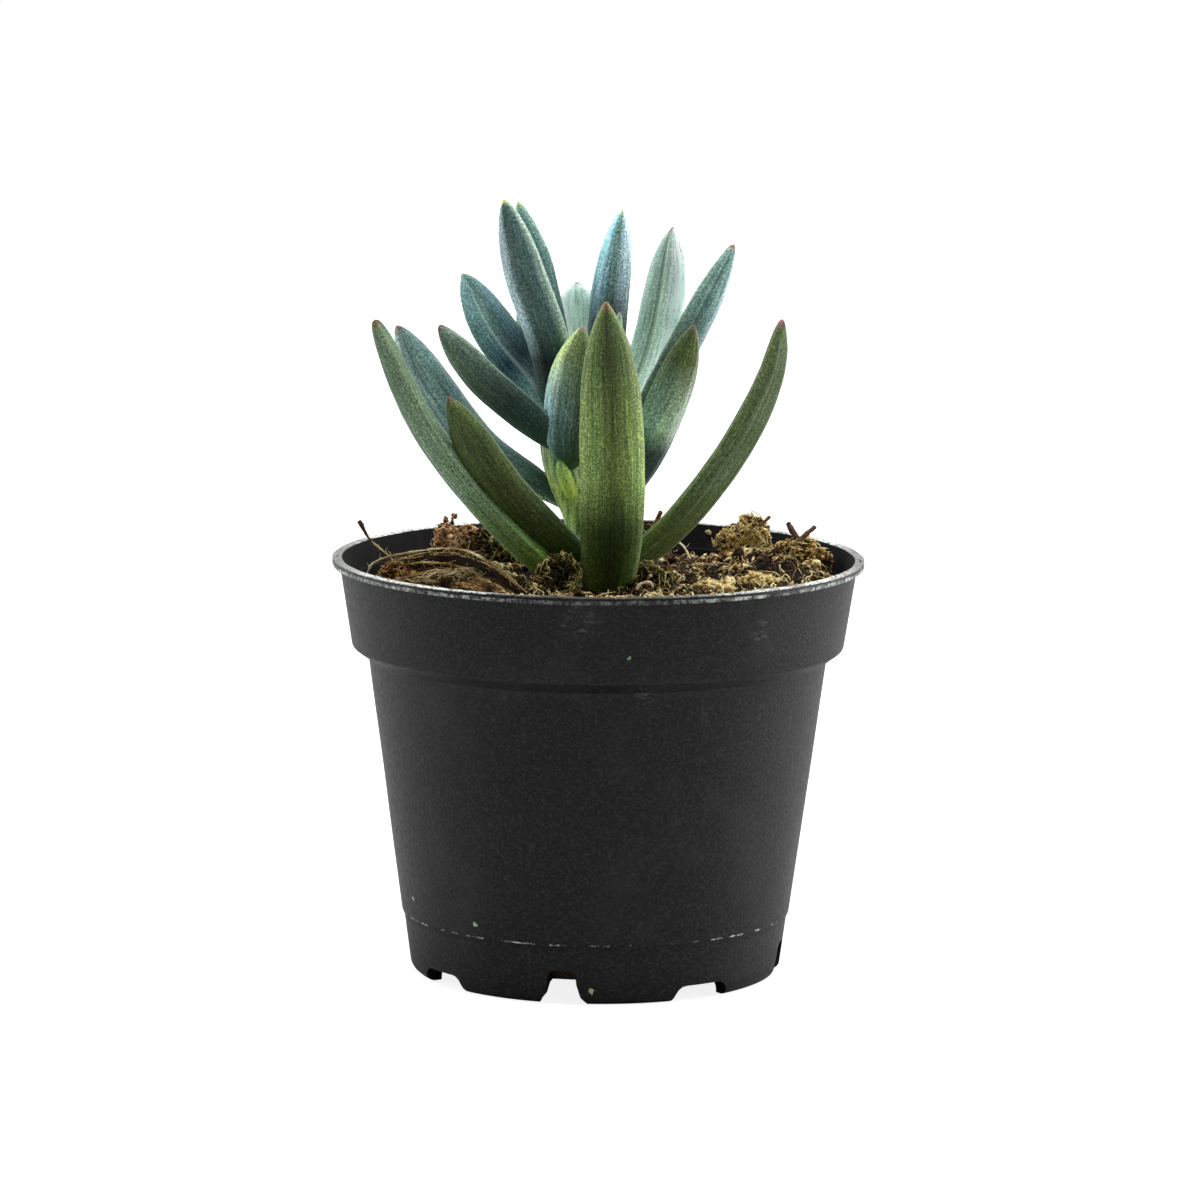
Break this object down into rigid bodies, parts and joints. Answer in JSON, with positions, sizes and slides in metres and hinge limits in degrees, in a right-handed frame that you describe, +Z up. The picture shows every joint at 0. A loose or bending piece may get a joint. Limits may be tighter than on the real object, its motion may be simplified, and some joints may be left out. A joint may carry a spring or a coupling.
{
  "type": "potted succulent plant",
  "caption": "Small branching blue chalk sticks succulent with upright fleshy leaves, rooted in fibrous potting mix in a round black plastic nursery pot.",
  "frame": {"origin": "centre of the pot's footprint, on the surface that it stands on", "axes": "+Z up along the pot's axis, -Y towards the side that the broad front leaf faces, +X to the right of a viewer in front"},
  "size_m": [0.105, 0.105, 0.1533],
  "materials": {
    "pot_plastic": "matte charcoal black with a fine grain and pale scuffs on the lip",
    "potting_mix": "coarse, dry, brown peat and coir",
    "stem": "satin, yellow green",
    "green_leaf": "satin green with fine lengthwise lines and a thin waxy bloom",
    "blue_leaf": "matt blue green with a waxy bloom",
    "root": "matt, pale",
    "coir_fibre": "matted tan and brown fibre",
    "dry_straw": "dry, straw yellow",
    "twig_wood": "dry dark brown bark"
  },
  "bodies": {
    "root": {"nursery_pot": "pot_plastic", "potting_mix": "potting_mix", "branching_stem": "stem", "young_leaf": "stem", "tap_root": "root", "left_root": "root", "right_root": "root", "front_root": "root", "back_root": "root", "front_leaf": "green_leaf", "low_left_leaf": "green_leaf", "outer_left_leaf": "green_leaf", "right_long_leaf": "green_leaf", "mid_left_leaf": "green_leaf", "mid_right_leaf": "green_leaf", "low_back_leaf": "green_leaf", "left_back_leaf": "green_leaf", "right_low_back_leaf": "green_leaf", "rounded_leaf": "blue_leaf", "back_left_leaf": "blue_leaf", "upper_left_leaf": "blue_leaf", "tall_leaf": "blue_leaf", "tall_back_leaf": "blue_leaf", "inner_back_leaf": "blue_leaf", "small_back_leaf": "blue_leaf", "centre_leaf": "blue_leaf", "shoulder_leaf": "blue_leaf", "pale_leaf": "blue_leaf", "upper_right_leaf": "blue_leaf", "upper_back_leaf": "blue_leaf", "right_back_leaf": "blue_leaf", "moss_tuft": "coir_fibre", "moss_tuft_side": "coir_fibre", "coir_clump": "coir_fibre", "stem_foot_clump": "coir_fibre", "pale_crumb_middle": "coir_fibre", "pale_crumb_front": "coir_fibre", "pale_crumb_left": "coir_fibre", "straw_arch_high": "dry_straw", "straw_arch_low": "dry_straw", "straw_back": "dry_straw", "pale_root_end": "dry_straw", "curled_root_end": "dry_straw", "leaning_twig": "twig_wood", "clump_twig": "twig_wood", "fork_twig_left": "twig_wood", "fork_twig_right": "twig_wood", "upright_twig": "twig_wood", "bark_chip_back": "twig_wood"}
  },
  "joints": []
}
